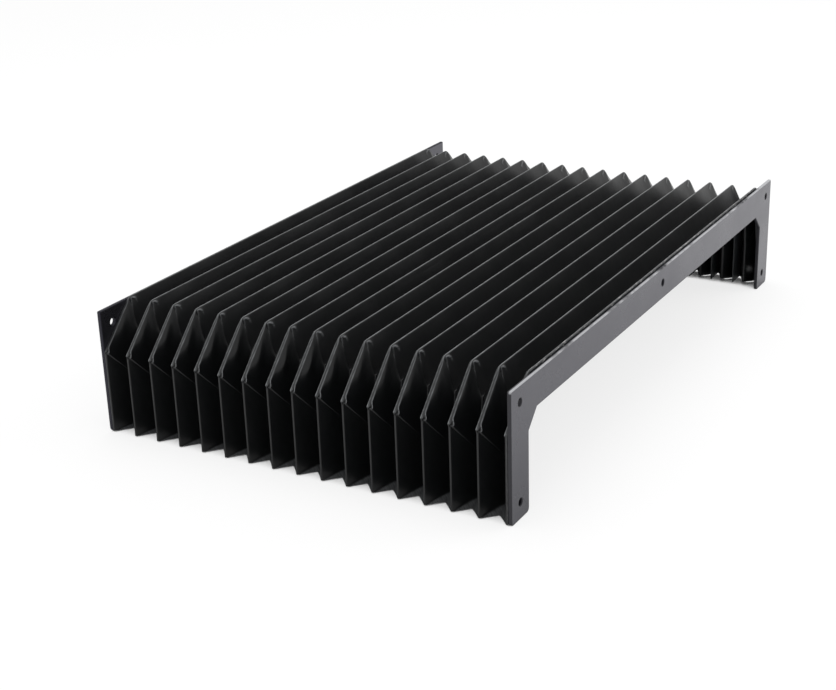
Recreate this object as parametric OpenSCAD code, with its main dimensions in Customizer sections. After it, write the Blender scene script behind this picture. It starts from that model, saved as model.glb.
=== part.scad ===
// Bellows way cover: a pleated cloth cover in an upside-down U between two sheet-metal end plates.
// X is the direction of travel, Y the width, Z up. The origin lies midway between the plates,
// at the level of their feet. Each crest of the cloth is held straight by a thin U-shaped stiffener.

/* [Overall] */
// Length over both end plates in the pose that is drawn
cover_length = 350; // [200:1:500]
// Width over the end plates
cover_width = 540; // [300:1:800]
// Height of the end plates
plate_height = 100; // [80:1:160]

/* [End plates] */
// Thickness of the sheet
plate_thickness = 3; // [1.5:0.5:6]
// Width of each leg
leg_width = 27; // [20:0.5:40]
// Height of the beam that joins the legs
beam_height = 26; // [20:0.5:40]
// Chamfer in the two inner corners
inner_chamfer = 13; // [5:0.5:20]
// Radius on the outer top corners
top_radius = 1; // [0.5:0.5:6]
// Radius on the corners of the feet
foot_radius = 3; // [0.5:0.5:6]
// Diameter of the five fixing holes
bolt_hole_d = 5.5; // [3:0.1:8]
// From the side edges to the hole centres
bolt_side_margin = 13.5; // [8:0.5:18]
// From the top edge down to the upper hole centres
bolt_top_margin = 12.5; // [8:0.5:18]
// From the feet up to the lower hole centres
bolt_foot_margin = 13; // [8:0.5:30]

/* [Cloth] */
// Number of pleats between the end plates
pleat_count = 16; // [6:1:24]
// Thickness of the coated cloth
cloth_thickness = 0.5; // [0.3:0.1:0.8]
// Rise of the crests above the end plates
crest_rise = 1.5; // [0:0.5:5]
// Chamfer that cuts each upper corner of a crest
crest_chamfer = 34; // [20:1:45]
// Cut across the width at each upper corner of a valley
valley_cut_y = 6; // [2:1:20]
// Cut down the sides at each upper corner of a valley
valley_cut_z = 38; // [20:1:45]
// How far the valleys stay short of the inner edges of the plates' legs
valley_setback = 4; // [2:0.5:8]
// Gap between the lower hems and the ground that the feet stand on
hem_gap = 1; // [0.5:0.5:5]

/* [Stiffeners] */
// Thickness of the plastic sheet
stiffener_thickness = 0.8; // [0.5:0.1:1.2]
// Play between a stiffener and the cloth around it
stiffener_play = 0.15; // [0.1:0.05:0.3]
// How far the inner edge of a stiffener stays short of the valleys
stiffener_setback = 1.5; // [1:0.5:4]
// Gap between a stiffener's feet and the cloth's hems
stiffener_foot_gap = 1; // [0.5:0.5:5]
// Room around a fixing bolt where it passes the cloth and a stiffener
bolt_play = 1; // [0.5:0.1:1.5]

/* [Hidden] */
$fn = 64;
overlap = 1;

rear_seat_x = plate_thickness - cover_length / 2;
front_seat_x = -rear_seat_x;

crest_half_width = cover_width / 2;
crest_top = plate_height + crest_rise;
crest_band = stiffener_thickness + 2 * cloth_thickness + 2 * stiffener_play;

pitch = (front_seat_x - rear_seat_x - crest_band) / pleat_count;
pleat_depth = leg_width - valley_setback;
face_run = (pitch - crest_band) / 2;
face_length = norm([face_run, pleat_depth]);

stiffener_rim = cloth_thickness + stiffener_play;
stiffener_inset = pleat_depth - stiffener_setback;
stiffener_foot = hem_gap + stiffener_foot_gap;

bolt_y = cover_width / 2 - bolt_side_margin;
bolt_top_z = plate_height - bolt_top_margin;
bolt_points = [
    [-bolt_y, bolt_foot_margin],
    [-bolt_y, bolt_top_z],
    [0, bolt_top_z],
    [bolt_y, bolt_top_z],
    [bolt_y, bolt_foot_margin]
];

plate_colour = "#6b6e70";
cloth_colour = "#1a1b1c";
stiffener_colour = "#3a3c3e";

// Middle of a crest, counted from the rear end plate
function crest_x(k) = rear_seat_x + crest_band / 2 + k * pitch;

// Outline across the cover as [y, z], hem to hem, drawn in from the crests by inset on every side.
// The cut corners change evenly from those of the crests to those of the valleys.
function outline(inset, foot) =
    let (
        share = inset / pleat_depth,
        side = crest_half_width - inset,
        top = crest_top - inset,
        knee = top - crest_chamfer - (valley_cut_z - crest_chamfer) * share,
        shoulder = side - crest_chamfer - (valley_cut_y - crest_chamfer) * share
    )
    [[-side, foot], [-side, knee], [-shoulder, top], [shoulder, top], [side, knee], [side, foot]];

// Section along the cover as [x, inset] on the cloth's outer face, or that far below it.
// Each end turns down behind its crest as a flap that is bonded to the end plate.
function pleat_section(below) =
    let (
        narrowing = below * (face_length - face_run) / pleat_depth,
        valley = pleat_depth + below * face_length / face_run,
        half_band = crest_band / 2 - narrowing
    )
    concat(
        [[rear_seat_x + below, stiffener_inset], [rear_seat_x + below, below]],
        [[crest_x(0) + half_band, below]],
        [for (k = [1 : pleat_count - 1]) each [
            [crest_x(k) - pitch / 2, valley],
            [crest_x(k) - half_band, below],
            [crest_x(k) + half_band, below]
        ]],
        [[crest_x(pleat_count) - pitch / 2, valley], [crest_x(pleat_count) - half_band, below]],
        [[front_seat_x - below, below], [front_seat_x - below, stiffener_inset]]
    );

// Points of one face of the cloth, row by row along the cover
function cloth_face(below) =
    [for (s = pleat_section(below)) each [for (p = outline(s[1], hem_gap)) [s[0], p[0], p[1]]]];

// The items of a list at the given places
function select(list, places) = [for (i = places) list[i]];

function stiffener_name(k) = str("stiffener_", k < 10 ? "0" : "", k);

// Stands a flat [y, z] shape up at x and gives it a thickness towards +X
module upright(x, thickness) {
    translate([x, 0, 0])
        rotate([90, 0, 90])
            linear_extrude(thickness)
                children();
}

// Bar with its lower left corner at [y, z], with one radius on its lower corners and one on its upper ones
module round_bar(y, z, width, height, low_r, high_r) {
    translate([y, z]) {
        translate([low_r, 0])
            square([width - 2 * low_r, height - high_r]);
        translate([0, low_r])
            square([width, height - low_r - high_r]);
        translate([high_r, low_r])
            square([width - 2 * high_r, height - low_r]);
        for (side = [0, 1]) {
            translate([side ? width - low_r : low_r, low_r])
                circle(low_r);
            translate([side ? width - high_r : high_r, height - high_r])
                circle(high_r);
        }
    }
}

module plate_shape() {
    difference() {
        union() {
            round_bar(
                -cover_width / 2, plate_height - beam_height,
                cover_width, beam_height, top_radius, top_radius
            );
            for (side = [0, 1])
                mirror([side, 0]) {
                    round_bar(-cover_width / 2, 0, leg_width, plate_height, foot_radius, top_radius);
                    translate([leg_width - cover_width / 2, plate_height - beam_height])
                        polygon([
                            [-overlap, -inner_chamfer],
                            [0, -inner_chamfer],
                            [inner_chamfer, 0],
                            [inner_chamfer, overlap],
                            [-overlap, overlap]
                        ]);
                }
        }
        for (p = bolt_points)
            translate(p)
                circle(d = bolt_hole_d);
    }
}

module end_plate(x) {
    color(plate_colour)
        upright(x, plate_thickness)
            plate_shape();
}

module rear_end_plate() {
    end_plate(rear_seat_x - plate_thickness);
}

module front_end_plate() {
    end_plate(front_seat_x);
}

// Room for the fixing bolts through what is bonded to the two end plates
module bolt_passages() {
    for (x = [rear_seat_x - overlap, front_seat_x - crest_band])
        upright(x, crest_band + overlap)
            for (p = bolt_points)
                translate(p)
                    circle(d = bolt_hole_d + 2 * bolt_play);
}

// One folded sheet: an outer and an inner face that share their rows and columns.
// A corner patch isn't flat, so it has a ridge from the crest's knee to the valley's shoulder.
module pleated_sheet() {
    section = pleat_section(0);
    outer = cloth_face(0);
    inner = cloth_face(cloth_thickness);
    columns = len(outline(0, 0));
    last = columns - 1;
    end = len(section) - 1;
    under = len(outer);
    left_corner = 1;
    right_corner = 3;
    function at(row, column) = row * columns + column;
    function patch(i, j) =
        let (
            corners = [at(i, j), at(i + 1, j), at(i + 1, j + 1), at(i, j + 1)],
            rises = section[i + 1][1] < section[i][1]
        )
        j != left_corner && j != right_corner ? [corners]
        : (j == left_corner) != rises ? [select(corners, [0, 1, 2]), select(corners, [0, 2, 3])]
        : [select(corners, [0, 1, 3]), select(corners, [1, 2, 3])];
    patches = [for (i = [0 : end - 1], j = [0 : last - 1]) each patch(i, j)];
    polyhedron(
        points = concat(outer, inner),
        faces = concat(
            patches,
            [for (face = patches) [for (v = [len(face) - 1 : -1 : 0]) under + face[v]]],
            [for (i = [0 : end - 1])
                [at(i, 0), under + at(i, 0), under + at(i + 1, 0), at(i + 1, 0)]],
            [for (i = [0 : end - 1])
                [at(i, last), at(i + 1, last), under + at(i + 1, last), under + at(i, last)]],
            [for (j = [0 : last - 1])
                [at(0, j), at(0, j + 1), under + at(0, j + 1), under + at(0, j)]],
            [for (j = [0 : last - 1])
                [at(end, j), under + at(end, j), under + at(end, j + 1), at(end, j + 1)]]
        )
    );
}

module bellows_cloth() {
    color(cloth_colour)
        difference() {
            pleated_sheet();
            bolt_passages();
        }
}

module stiffener_shape() {
    rim = outline(stiffener_rim, stiffener_foot);
    bore = outline(stiffener_inset, stiffener_foot);
    polygon(concat(rim, [for (i = [len(bore) - 1 : -1 : 0]) bore[i]]));
}

// The end stiffeners lie against the flaps on the plates, the others in the middle of their crests
module stiffener(k) {
    x = k == 0 ? rear_seat_x + stiffener_rim
        : k == pleat_count ? front_seat_x - stiffener_rim - stiffener_thickness
        : crest_x(k) - stiffener_thickness / 2;
    color(stiffener_colour)
        difference() {
            upright(x, stiffener_thickness)
                stiffener_shape();
            if (k == 0 || k == pleat_count)
                bolt_passages();
        }
}

rear_end_plate();
front_end_plate();
bellows_cloth();
for (k = [0 : pleat_count])
    stiffener(k);
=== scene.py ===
"""Looks of a bellows way cover: folded cloth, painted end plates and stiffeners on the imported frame."""
import logging
import math
from dataclasses import dataclass, field, replace
from enum import Enum

import bmesh
import bpy
import numpy as np
from mathutils import Matrix, Vector


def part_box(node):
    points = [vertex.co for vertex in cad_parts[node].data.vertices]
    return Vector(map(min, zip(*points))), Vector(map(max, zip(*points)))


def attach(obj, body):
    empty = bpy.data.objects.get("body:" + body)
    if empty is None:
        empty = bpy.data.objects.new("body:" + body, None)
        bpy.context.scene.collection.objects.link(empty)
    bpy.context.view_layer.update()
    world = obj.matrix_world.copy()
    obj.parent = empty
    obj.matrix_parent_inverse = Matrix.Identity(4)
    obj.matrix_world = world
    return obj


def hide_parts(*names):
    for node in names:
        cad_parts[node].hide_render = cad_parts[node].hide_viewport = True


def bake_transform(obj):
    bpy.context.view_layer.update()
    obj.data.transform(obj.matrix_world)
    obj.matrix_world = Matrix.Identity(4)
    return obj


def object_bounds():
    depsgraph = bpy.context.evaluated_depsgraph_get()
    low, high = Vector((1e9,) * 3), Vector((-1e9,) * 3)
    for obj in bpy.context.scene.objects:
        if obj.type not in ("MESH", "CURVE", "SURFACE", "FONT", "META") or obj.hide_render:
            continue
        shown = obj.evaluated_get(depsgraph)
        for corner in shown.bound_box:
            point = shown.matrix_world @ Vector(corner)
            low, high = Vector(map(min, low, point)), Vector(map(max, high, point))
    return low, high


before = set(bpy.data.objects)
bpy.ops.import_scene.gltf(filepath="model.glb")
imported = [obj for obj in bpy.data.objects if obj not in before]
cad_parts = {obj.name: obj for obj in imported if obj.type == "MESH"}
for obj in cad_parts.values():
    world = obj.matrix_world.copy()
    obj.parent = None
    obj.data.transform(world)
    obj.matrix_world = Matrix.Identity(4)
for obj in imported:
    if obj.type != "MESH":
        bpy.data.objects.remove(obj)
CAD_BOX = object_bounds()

log = logging.getLogger("bellows_cover")

MM = 0.001
IMAGE_WIDTH = 836
SEED = 67
# A wave texture's bands repeat every full turn of 20 times its scaled coordinate.
WAVE_BAND_FACTOR = 20.0
FLAT_UV = "flat_cloth"
# Attribute of the paler fold colour: rub wear together with a painted highlight.
FOLD_WEAR_AND_HIGHLIGHT = "fold_wear_and_highlight"
FLECKS = "edge_flecks"
# Inputs and output of a Mix node for colours, which share their names with those for other values.
MIX_FIRST, MIX_SECOND, MIX_RESULT = 6, 7, 2
# Most values of a noise texture lie between these two.
NOISE_LOW, NOISE_HIGH = 0.3, 0.7
# Keeps a division by nothing away.
TINY = 1e-9

Inputs = dict[str | int, object]


def linear(hex_code: str) -> tuple[float, float, float, float]:
    """Turns an sRGB hex colour into linear RGBA.

    Args:
        hex_code: Colour such as "#1a1b1c".

    Returns:
        Red, green, blue and an alpha of 1.
    """
    shares = [int(hex_code[i : i + 2], 16) / 255 for i in (1, 3, 5)]
    red, green, blue = [s / 12.92 if s <= 0.04045 else ((s + 0.055) / 1.055) ** 2.4 for s in shares]
    return red, green, blue, 1.0


def add_node(
    tree: bpy.types.NodeTree, kind: str, inputs: Inputs | None = None, **settings: object
) -> bpy.types.Node:
    """Adds one node to a tree.

    Args:
        tree: The material's or world's node tree.
        kind: Blender's name for the node.
        inputs: Values, or sockets to link from, by the name or place of the input.
        **settings: The node's own settings.

    Returns:
        The new node.
    """
    node = tree.nodes.new(kind)
    for name, value in settings.items():
        setattr(node, name, value)
    for name, value in (inputs or {}).items():
        if isinstance(value, bpy.types.NodeSocket):
            tree.links.new(value, node.inputs[name])
        else:
            node.inputs[name].default_value = value
    return node


def per_metre(size_mm: float) -> float:
    """Noise scale at which one feature is about size_mm wide, in a pattern space of metres."""
    return 1.0 / (size_mm * MM)


def bands(spacing_mm: float) -> float:
    """Wave scale at which bands lie spacing_mm apart, in a pattern space of metres."""
    return 2 * math.pi / (WAVE_BAND_FACTOR * spacing_mm * MM)


def smooth(value: np.ndarray) -> np.ndarray:
    """Soft step from 0 to 1 as value goes from 0 to 1."""
    t = np.clip(value, 0, 1)
    return t * t * (3 - 2 * t)


def bell(value: np.ndarray) -> np.ndarray:
    """Soft bump of height 1 that is about 2 wide."""
    return np.exp(-np.square(value))


def new_material(name: str) -> tuple[bpy.types.Material, bpy.types.NodeTree]:
    """Makes an empty node material.

    Args:
        name: The finish's name.

    Returns:
        The material and its emptied node tree.
    """
    material = bpy.data.materials.new(name)
    material.use_nodes = True
    material.node_tree.nodes.clear()
    return material, material.node_tree


@dataclass(frozen=True)
class CoatedCloth:
    """Polyester cloth with a black PVC coating, calendered.

    The eye sees a deep black with a low gloss, a faint weave through the coating and a paler line along
    the folds, which is partly rub wear and partly a painted highlight on the crests and creases.
    """

    name: str = "black_pvc_coated_cloth"
    colour: str = "#0d0e0f"
    # Pale colour of the folds: rub wear together with a painted highlight.
    rubbed_and_lit: str = "#77797b"
    fleck: str = "#a9a8a6"
    roughness: float = 0.32
    roughness_spread: float = 0.07
    ior: float = 1.5
    specular: float = 0.37
    # The real thread is 0.4 mm. It is drawn coarser here so that it shows in a render at about 1 px/mm.
    thread_mm: float = 1.1
    weave_height_mm: float = 0.012
    crumple_mm: float = 9.0
    crumple_height_mm: float = 0.10
    mottle_mm: float = 16.0
    fleck_mm: tuple[float, float] = (7.0, 1.2)
    fleck_span: tuple[float, float] = (0.58, 0.70)
    streak_strength: tuple[float, float] = (0.2, 0.8)

    def material(self) -> bpy.types.Material:
        """Builds the node material.

        Returns:
            The material.
        """
        material, tree = new_material(self.name)
        flat = add_node(tree, "ShaderNodeUVMap", uv_map=FLAT_UV).outputs["UV"]
        mottle = add_node(
            tree, "ShaderNodeTexNoise", {"Vector": flat, "Scale": per_metre(self.mottle_mm), "Detail": 3.0}
        ).outputs["Fac"]
        long, short = self.fleck_mm
        drawn_out = add_node(
            tree, "ShaderNodeMapping", {"Vector": flat, "Scale": (per_metre(long), per_metre(short), 1.0)}
        ).outputs["Vector"]
        grit = add_node(
            tree, "ShaderNodeTexNoise", {"Vector": drawn_out, "Scale": 1.0, "Detail": 2.0}
        ).outputs["Fac"]
        faint, strong = self.streak_strength
        streaks = add_node(
            tree,
            "ShaderNodeMapRange",
            {"Value": grit, "From Min": NOISE_LOW, "From Max": NOISE_HIGH, "To Min": faint, "To Max": strong},
        ).outputs["Result"]
        # Paler colour along the folds: rub wear together with a painted highlight on crests, creases and
        # ears.
        fold = add_node(tree, "ShaderNodeAttribute", attribute_name=FOLD_WEAR_AND_HIGHLIGHT).outputs["Fac"]
        rubbed_and_lit = add_node(tree, "ShaderNodeMath", {0: fold, 1: streaks}, operation="MULTIPLY").outputs[0]
        colour = add_node(
            tree,
            "ShaderNodeMix",
            {"Factor": rubbed_and_lit, MIX_FIRST: linear(self.colour), MIX_SECOND: linear(self.rubbed_and_lit)},
            data_type="RGBA",
        ).outputs[MIX_RESULT]
        clean, flecked = self.fleck_span
        bits = add_node(
            tree, "ShaderNodeMapRange", {"Value": grit, "From Min": clean, "From Max": flecked}
        ).outputs["Result"]
        edge = add_node(tree, "ShaderNodeAttribute", attribute_name=FLECKS).outputs["Fac"]
        flecks = add_node(tree, "ShaderNodeMath", {0: bits, 1: edge}, operation="MULTIPLY").outputs[0]
        dressed = add_node(
            tree,
            "ShaderNodeMix",
            {"Factor": flecks, MIX_FIRST: colour, MIX_SECOND: linear(self.fleck)},
            data_type="RGBA",
        ).outputs[MIX_RESULT]
        gloss = add_node(
            tree,
            "ShaderNodeMapRange",
            {
                "Value": mottle,
                "From Min": NOISE_LOW,
                "From Max": NOISE_HIGH,
                "To Min": self.roughness - self.roughness_spread / 2,
                "To Max": self.roughness + self.roughness_spread / 2,
            },
        ).outputs["Result"]
        threads = [
            add_node(
                tree,
                "ShaderNodeTexWave",
                {"Vector": flat, "Scale": bands(self.thread_mm)},
                bands_direction=direction,
            ).outputs["Fac"]
            for direction in ("X", "Y")
        ]
        weave = add_node(tree, "ShaderNodeMath", dict(enumerate(threads)), operation="MULTIPLY").outputs[0]
        crumple = add_node(
            tree, "ShaderNodeTexNoise", {"Vector": flat, "Scale": per_metre(self.crumple_mm), "Detail": 2.0}
        ).outputs["Fac"]
        creased = add_node(
            tree,
            "ShaderNodeBump",
            {"Height": crumple, "Strength": 1.0, "Distance": self.crumple_height_mm * MM},
        ).outputs["Normal"]
        woven = add_node(
            tree,
            "ShaderNodeBump",
            {"Height": weave, "Strength": 1.0, "Distance": self.weave_height_mm * MM, "Normal": creased},
        ).outputs["Normal"]
        surface = add_node(
            tree,
            "ShaderNodeBsdfPrincipled",
            {
                "Base Color": dressed,
                "Roughness": gloss,
                "IOR": self.ior,
                "Specular IOR Level": self.specular,
                "Normal": woven,
            },
        )
        add_node(tree, "ShaderNodeOutputMaterial", {"Surface": surface.outputs["BSDF"]})
        return material


@dataclass(frozen=True)
class PowderCoat:
    """Black powder coat, baked on sheet steel.

    The eye sees a dark semi-gloss skin with a fine orange peel, which mirrors a pale room as soft grey.
    """

    name: str = "black_powder_coated_steel"
    colour: str = "#1c1c1f"
    shade: str = "#151517"
    gloss_tint: str = "#eceaff"
    roughness: float = 0.28
    roughness_spread: float = 0.08
    ior: float = 1.7
    peel_mm: float = 1.6
    peel_height_mm: float = 0.015
    mottle_mm: float = 38.0

    def material(self) -> bpy.types.Material:
        """Builds the node material.

        Returns:
            The material.
        """
        material, tree = new_material(self.name)
        place = add_node(tree, "ShaderNodeTexCoord").outputs["Object"]
        mottle = add_node(
            tree, "ShaderNodeTexNoise", {"Vector": place, "Scale": per_metre(self.mottle_mm), "Detail": 4.0}
        ).outputs["Fac"]
        colour = add_node(
            tree,
            "ShaderNodeMix",
            {"Factor": mottle, MIX_FIRST: linear(self.shade), MIX_SECOND: linear(self.colour)},
            data_type="RGBA",
        ).outputs[MIX_RESULT]
        gloss = add_node(
            tree,
            "ShaderNodeMapRange",
            {
                "Value": mottle,
                "From Min": NOISE_LOW,
                "From Max": NOISE_HIGH,
                "To Min": self.roughness - self.roughness_spread / 2,
                "To Max": self.roughness + self.roughness_spread / 2,
            },
        ).outputs["Result"]
        peel = add_node(
            tree, "ShaderNodeTexNoise", {"Vector": place, "Scale": per_metre(self.peel_mm), "Detail": 1.0}
        ).outputs["Fac"]
        skin = add_node(
            tree, "ShaderNodeBump", {"Height": peel, "Strength": 1.0, "Distance": self.peel_height_mm * MM}
        ).outputs["Normal"]
        surface = add_node(
            tree,
            "ShaderNodeBsdfPrincipled",
            {
                "Base Color": colour,
                "Roughness": gloss,
                "IOR": self.ior,
                "Specular Tint": linear(self.gloss_tint),
                "Normal": skin,
            },
        )
        add_node(tree, "ShaderNodeOutputMaterial", {"Surface": surface.outputs["BSDF"]})
        return material


# The coat is thin and dull on the sheet's cut edges, which look darker than its sides.
CUT_EDGE = PowderCoat("powder_coated_cut_edge", colour="#1a1a20", shade="#131317", roughness=0.55, ior=1.45)


@dataclass(frozen=True)
class WornAndHighlitEdge:
    """Powder coat rubbed down to the steel in places along a sheet's upper edges, with a painted highlight.

    The eye sees a thin broken pale line along the outer rim of the top edge and at the far corner, partly
    wear where the plate is handled and partly a painted highlight, and dark coating elsewhere.
    """

    name: str = "worn_and_highlit_powder_coated_edge"
    colour: str = "#1d1d23"
    # Pale colour of the edge: bare steel together with a painted highlight.
    bare_and_highlit: str = "#a6a7aa"
    roughness: float = 0.5
    ior: float = 1.45
    patch_mm: float = 22.0
    bare_and_highlit_span: tuple[float, float] = (0.36, 0.54)
    ends_mm: tuple[float, float] = (226.0, 240.0)
    height_mm: tuple[float, float] = (98.0, 99.3)
    rim_mm: tuple[float, float] = (1.9, 1.3)
    corner_mm: tuple[float, float] = (232.0, 240.0)

    def material(self) -> bpy.types.Material:
        """Builds the node material.

        Returns:
            The material.
        """
        material, tree = new_material(self.name)
        place = add_node(tree, "ShaderNodeTexCoord").outputs["Object"]
        patches = add_node(
            tree, "ShaderNodeTexNoise", {"Vector": place, "Scale": per_metre(self.patch_mm), "Detail": 4.0}
        ).outputs["Fac"]
        coated, bare_and_highlit = self.bare_and_highlit_span
        broken = add_node(
            tree, "ShaderNodeMapRange", {"Value": patches, "From Min": coated, "From Max": bare_and_highlit}
        ).outputs["Result"]
        spot = add_node(tree, "ShaderNodeSeparateXYZ", {"Vector": place}).outputs
        aside = add_node(tree, "ShaderNodeMath", {0: spot["Y"]}, operation="ABSOLUTE").outputs[0]
        limits = (
            (spot["Z"], self.height_mm),
            (aside, self.ends_mm),
            (spot["X"], [CAD_BOX[1].x / MM - inset for inset in self.rim_mm]),
            (spot["Y"], self.corner_mm),
        )
        upper, ends, rim, corner = (
            add_node(
                tree, "ShaderNodeMapRange", {"Value": way, "From Min": first * MM, "From Max": last * MM}
            ).outputs["Result"]
            for way, (first, last) in limits
        )
        # The pale edge is kept to the outer rim of the upper edge and the far corner: wear together with a
        # painted highlight.
        handled_and_highlit = add_node(tree, "ShaderNodeMath", {0: broken, 1: ends}, operation="MAXIMUM").outputs[0]
        outer = add_node(tree, "ShaderNodeMath", {0: rim, 1: corner}, operation="MAXIMUM").outputs[0]
        raised = add_node(tree, "ShaderNodeMath", {0: upper, 1: outer}, operation="MULTIPLY").outputs[0]
        worn_and_highlit = add_node(tree, "ShaderNodeMath", {0: handled_and_highlit, 1: raised}, operation="MULTIPLY").outputs[0]
        colour = add_node(
            tree,
            "ShaderNodeMix",
            {"Factor": worn_and_highlit, MIX_FIRST: linear(self.colour), MIX_SECOND: linear(self.bare_and_highlit)},
            data_type="RGBA",
        ).outputs[MIX_RESULT]
        surface = add_node(
            tree,
            "ShaderNodeBsdfPrincipled",
            {"Base Color": colour, "Roughness": self.roughness, "IOR": self.ior},
        )
        add_node(tree, "ShaderNodeOutputMaterial", {"Surface": surface.outputs["BSDF"]})
        return material


@dataclass(frozen=True)
class PlasticSheet:
    """Rigid PVC sheet, extruded.

    The eye sees a dark grey plastic with a dull, slightly streaked surface.
    """

    name: str = "dark_grey_rigid_pvc"
    colour: str = "#37393b"
    streak: str = "#2d2f31"
    roughness: float = 0.5
    ior: float = 1.53
    streak_mm: float = 5.0

    def material(self) -> bpy.types.Material:
        """Builds the node material.

        Returns:
            The material.
        """
        material, tree = new_material(self.name)
        place = add_node(tree, "ShaderNodeTexCoord").outputs["Object"]
        streaks = add_node(
            tree, "ShaderNodeTexNoise", {"Vector": place, "Scale": per_metre(self.streak_mm), "Detail": 3.0}
        ).outputs["Fac"]
        colour = add_node(
            tree,
            "ShaderNodeMix",
            {"Factor": streaks, MIX_FIRST: linear(self.streak), MIX_SECOND: linear(self.colour)},
            data_type="RGBA",
        ).outputs[MIX_RESULT]
        surface = add_node(
            tree,
            "ShaderNodeBsdfPrincipled",
            {"Base Color": colour, "Roughness": self.roughness, "IOR": self.ior},
        )
        add_node(tree, "ShaderNodeOutputMaterial", {"Surface": surface.outputs["BSDF"]})
        return material


@dataclass(frozen=True)
class CoverPlan:
    """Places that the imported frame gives, in millimetres."""

    half_width: float
    top: float
    hem: float
    rear_seat: float
    front_seat: float
    crests: tuple[float, ...]

    @classmethod
    def from_frame(cls) -> "CoverPlan":
        """Reads the cloth's box and the stiffeners' places.

        Returns:
            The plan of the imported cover.
        """
        low, high = (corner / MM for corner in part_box("bellows_cloth"))
        names = sorted(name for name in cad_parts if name.startswith("stiffener_"))
        spans = [[corner.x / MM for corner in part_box(name)] for name in names]
        half_band = (spans[0][0] - low.x) + (spans[0][1] - spans[0][0]) / 2
        inner = [sum(span) / 2 for span in spans[1:-1]]
        crests = (low.x + half_band, *inner, high.x - half_band)
        return cls(high.y, high.z, low.z, low.x, high.x, crests)

    @property
    def pleats(self) -> int:
        """Number of pleats between the two ends."""
        return len(self.crests) - 1

    @property
    def middle(self) -> int:
        """The fold whose two crests no joint joins."""
        return self.pleats // 2

    @property
    def run(self) -> float:
        """Distance along the cover from a crest to the next valley."""
        return (self.crests[1] - self.crests[0]) / 2

    def body(self, crest: int) -> str:
        """Name of the body that carries a crest.

        Args:
            crest: The crest, counted from the rear end.

        Returns:
            One of the frame's bodies.
        """
        if crest == 0:
            return "rear_end"
        return "front_end" if crest == self.pleats else f"pleat_{crest:02d}"


def graded(length: float, fine: float, coarse: float, growth: float) -> np.ndarray:
    """Stations along a stretch, close together at both ends.

    Args:
        length: Length of the stretch.
        fine: First step at each end.
        coarse: Longest step.
        growth: Ratio of each step to the last one.

    Returns:
        Distances from 0 to length.
    """
    steps: list[float] = []
    while sum(steps) < length / 2:
        steps.append(min(coarse, fine * growth ** len(steps)))
    half = np.cumsum([0.0, *steps])
    half *= length / 2 / half[-1]
    return np.concatenate([half, length - half[-2::-1]])


def rounded_path(distance: np.ndarray, corners: list[tuple[float, float]], rounds: list[float]) -> np.ndarray:
    """Points along a line of straight stretches whose inner corners are rounded.

    Args:
        distance: Distances along the line from its first corner.
        corners: The line's corners.
        rounds: For each inner corner, how far from it the rounding starts.

    Returns:
        One point for each distance.
    """
    line = np.array(corners, float)
    legs = np.diff(line, axis=0)
    lengths = np.linalg.norm(legs, axis=1)
    ways = legs / lengths[:, None]
    ends = np.cumsum(lengths)
    leg = np.clip(np.searchsorted(ends, distance), 0, len(legs) - 1)
    points = line[leg] + ways[leg] * (distance - (ends - lengths)[leg])[:, None]
    for i, reach in enumerate(rounds):
        past = distance - ends[i]
        near = np.abs(past) < reach
        before = -np.square(reach - past[near]) / (4 * reach)
        after = np.square(reach + past[near]) / (4 * reach)
        points[near] = line[i + 1] + before[:, None] * ways[i] + after[:, None] * ways[i + 1]
    return points


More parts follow.
